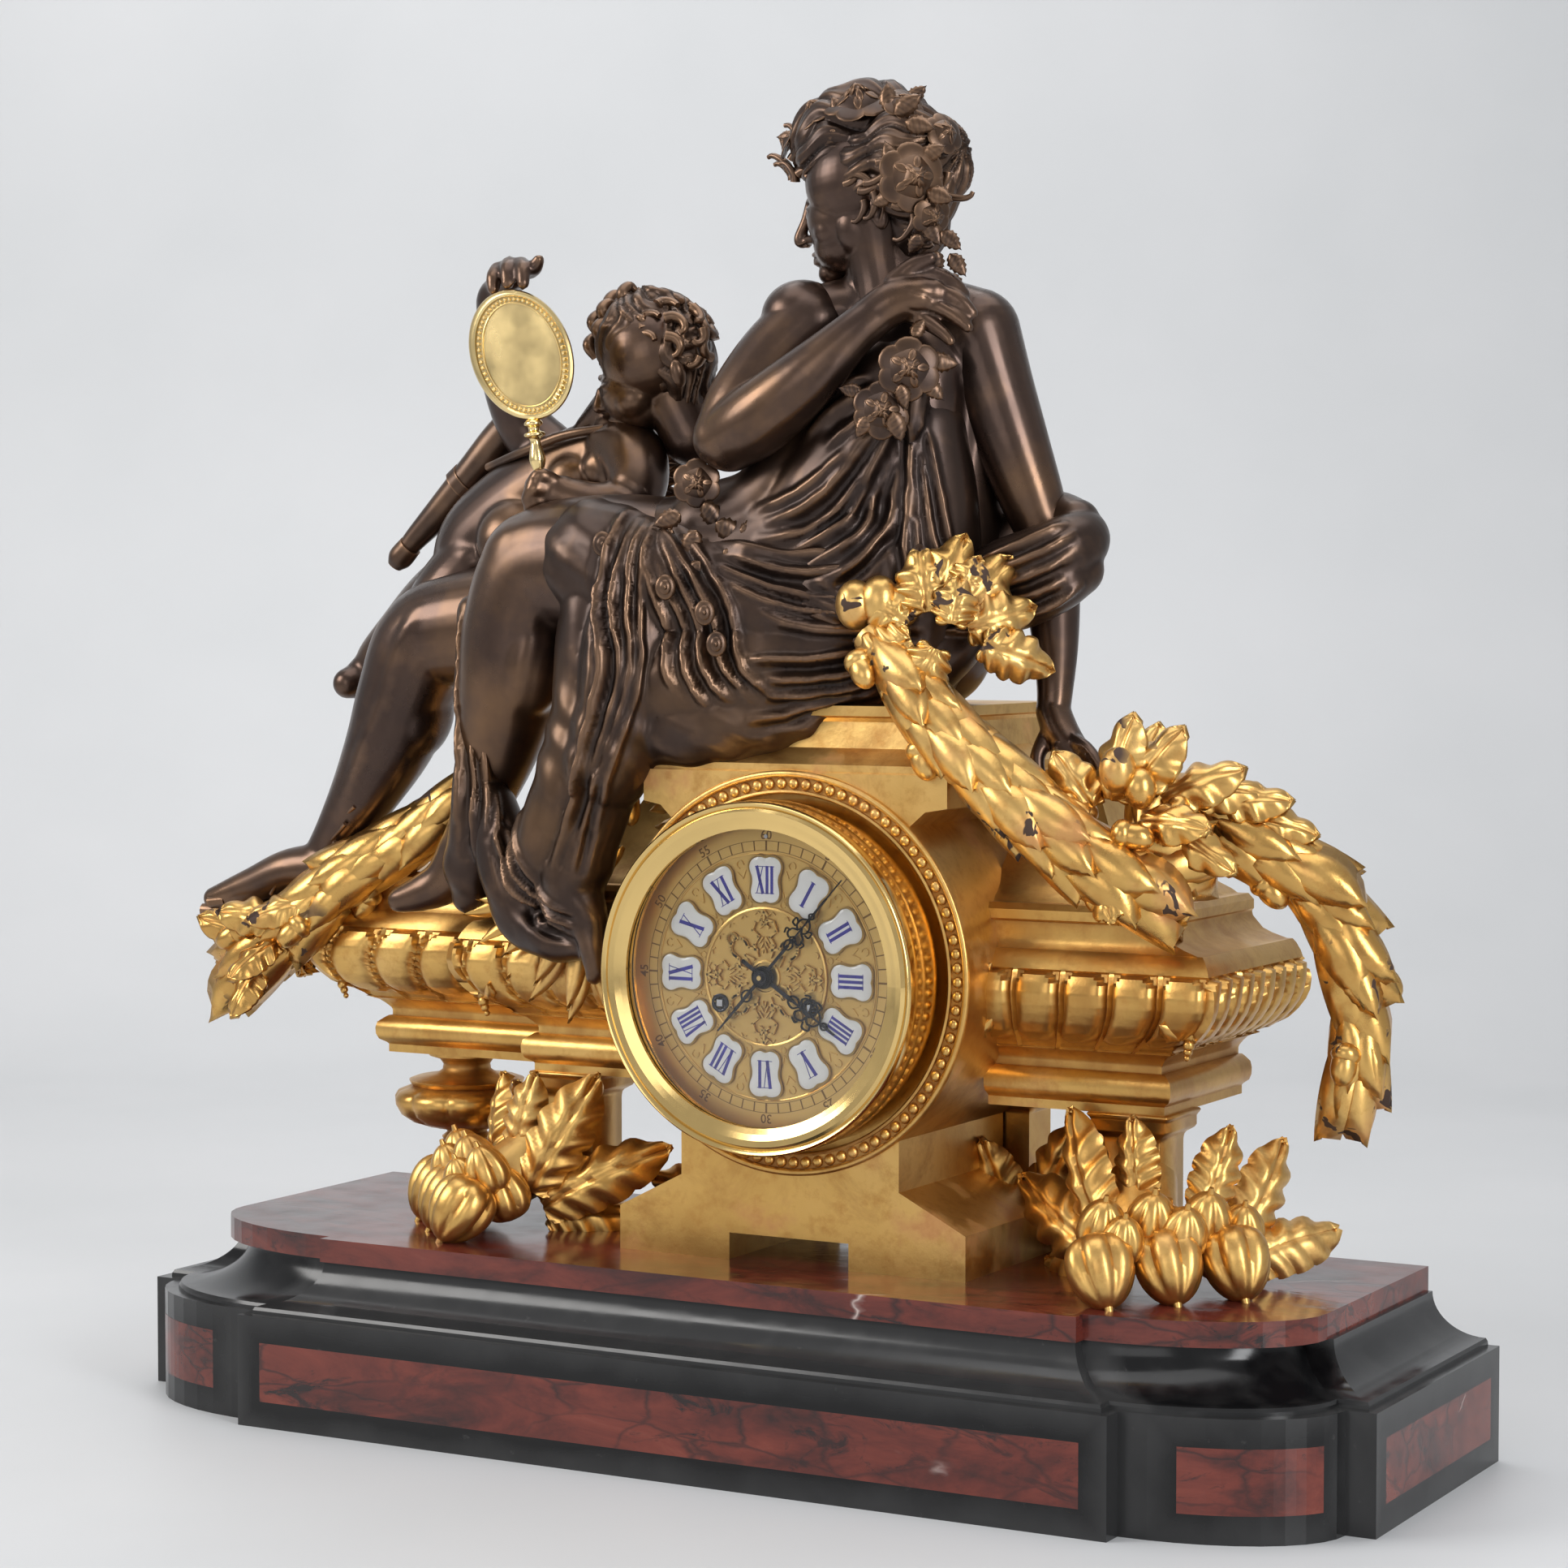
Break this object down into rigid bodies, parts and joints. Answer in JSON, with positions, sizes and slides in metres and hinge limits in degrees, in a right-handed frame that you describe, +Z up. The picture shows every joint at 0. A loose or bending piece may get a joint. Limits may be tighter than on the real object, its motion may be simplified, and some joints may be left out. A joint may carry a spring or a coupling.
{
  "type": "mantel clock",
  "caption": "Figural mantel clock: bronze seated figure and putto over a carved gilt case with a round hinged bezel, on a black and red marble base",
  "frame": {"origin": "centre of the underside of the marble base, on the surface it stands on", "axes": "+X to the right seen from the front, -Y is the way the dial faces, +Z up"},
  "size_m": [0.7108, 0.2402, 0.6905],
  "materials": {
    "black_marble": "honed black slate-like marble with a soft sheen",
    "red_marble": "polished red marble with dark and white veins",
    "gilt_wood": "burnished gold leaf over carved wood, rubbed on the high edges",
    "bronze": "dark brown patinated bronze with a warm sheen",
    "gilt_bronze": "bright gilt",
    "brass": "polished lacquered brass",
    "gilt_dial": "engraved and matted gilt brass",
    "enamel": "white fired enamel with blue numerals",
    "blued_steel": "blackened steel",
    "steel": "bright steel",
    "bell_metal": "turned bell metal",
    "glass": "clear"
  },
  "bodies": {
    "clock": {"plinth": "black_marble", "front_inlay": "red_marble", "corner_inlays": "red_marble", "end_inlays": "red_marble", "cavetto_slab": "black_marble", "marble_top": "red_marble", "clock_block": "gilt_wood", "block_lid": "gilt_wood", "wing_right": "gilt_wood", "wing_left": "gilt_wood", "pendant_boss": "gilt_wood", "foot_front_right": "gilt_wood", "foot_front_left": "gilt_wood", "foot_rear_right": "gilt_wood", "foot_rear_left": "gilt_wood", "bead_ring": "gilt_wood", "garland_right": "gilt_wood", "garland_tail": "gilt_wood", "garland_left": "gilt_wood", "olive_sprays": "gilt_wood", "bezel_ring": "brass", "bezel_hinge_pin": "brass", "dial_plate": "gilt_dial", "dial_centre": "gilt_dial", "hour_plaques": "enamel", "front_plate": "brass", "back_plate": "brass", "plate_pillars": "brass", "pendulum_cock": "brass", "bell": "bell_metal", "bell_stand": "steel", "case_straps": "brass", "rear_ring": "brass", "rear_hinge_pin": "brass", "woman_torso": "bronze", "woman_head": "bronze", "woman_arm_raised": "bronze", "woman_arm_propped": "bronze", "woman_leg_near": "bronze", "woman_leg_far": "bronze", "woman_drapery": "bronze", "putto_body": "bronze", "putto_quiver": "bronze", "hand_mirror": "gilt_bronze"},
    "bezel": {"bezel_door": "brass", "bezel_glass": "glass"},
    "minute": {"minute_hand": "blued_steel", "hand_nut": "blued_steel", "centre_arbor": "brass"},
    "hour": {"hour_hand": "blued_steel", "hour_wheel": "brass"},
    "motion": {"minute_wheel": "brass"},
    "going_drum": {"going_barrel": "brass"},
    "strike_drum": {"strike_barrel": "brass"},
    "going_winder": {"going_arbor": "steel"},
    "strike_winder": {"strike_arbor": "steel"},
    "regulator": {"regulator_arbor": "steel"},
    "swing": {"pendulum": "brass"},
    "striker": {"hammer": "steel"},
    "back_cover": {"rear_door": "brass"}
  },
  "joints": [
    {"name": "bezel_hinge", "type": "hinge", "parent": "clock", "child": "bezel", "pos_m": [-0.0565, -0.0542, 0.24104], "axis": [0, 0, -1], "range_deg": [0, 100]},
    {"name": "minute_turn", "type": "hinge", "parent": "clock", "child": "minute", "pos_m": [0.0342, -0.058, 0.24104], "axis": [0, 1, 0], "continuous": true},
    {"name": "hour_turn", "type": "hinge", "parent": "clock", "child": "hour", "pos_m": [0.0342, -0.058, 0.24104], "axis": [0, 1, 0], "continuous": true},
    {"name": "motion_turn", "type": "hinge", "parent": "clock", "child": "motion", "pos_m": [0.0342, -0.0454, 0.22904], "axis": [0, 1, 0], "continuous": true},
    {"name": "going_drum_turn", "type": "hinge", "parent": "clock", "child": "going_drum", "pos_m": [0.0087, -0.0204, 0.22704], "axis": [0, 1, 0], "continuous": true},
    {"name": "strike_drum_turn", "type": "hinge", "parent": "clock", "child": "strike_drum", "pos_m": [0.0597, -0.0204, 0.22704], "axis": [0, 1, 0], "continuous": true},
    {"name": "going_winding", "type": "hinge", "parent": "clock", "child": "going_winder", "pos_m": [0.0087, -0.058, 0.22704], "axis": [0, 1, 0], "continuous": true},
    {"name": "strike_winding", "type": "hinge", "parent": "clock", "child": "strike_winder", "pos_m": [0.0597, -0.058, 0.22704], "axis": [0, 1, 0], "continuous": true},
    {"name": "regulator_turn", "type": "hinge", "parent": "clock", "child": "regulator", "pos_m": [0.0342, -0.058, 0.31039], "axis": [0, 1, 0], "continuous": true},
    {"name": "pendulum_swing", "type": "hinge", "parent": "clock", "child": "swing", "pos_m": [0.0342, 0.009, 0.27564], "axis": [0, 1, 0], "range_deg": [-4, 4]},
    {"name": "hammer_lift", "type": "hinge", "parent": "clock", "child": "striker", "pos_m": [0.0792, -0.0022, 0.24104], "axis": [0, 1, 0], "range_deg": [0, 18]},
    {"name": "back_cover_hinge", "type": "hinge", "parent": "clock", "child": "back_cover", "pos_m": [-0.0438, 0.1154, 0.24104], "axis": [0, 0, 1], "range_deg": [0, 120]}
  ],
  "couplings": [
    {"joint": "hour_turn", "follows": "minute_turn", "ratio": 0.083333},
    {"joint": "motion_turn", "follows": "minute_turn", "ratio": -0.33333},
    {"joint": "going_drum_turn", "follows": "minute_turn", "ratio": -0.125}
  ]
}
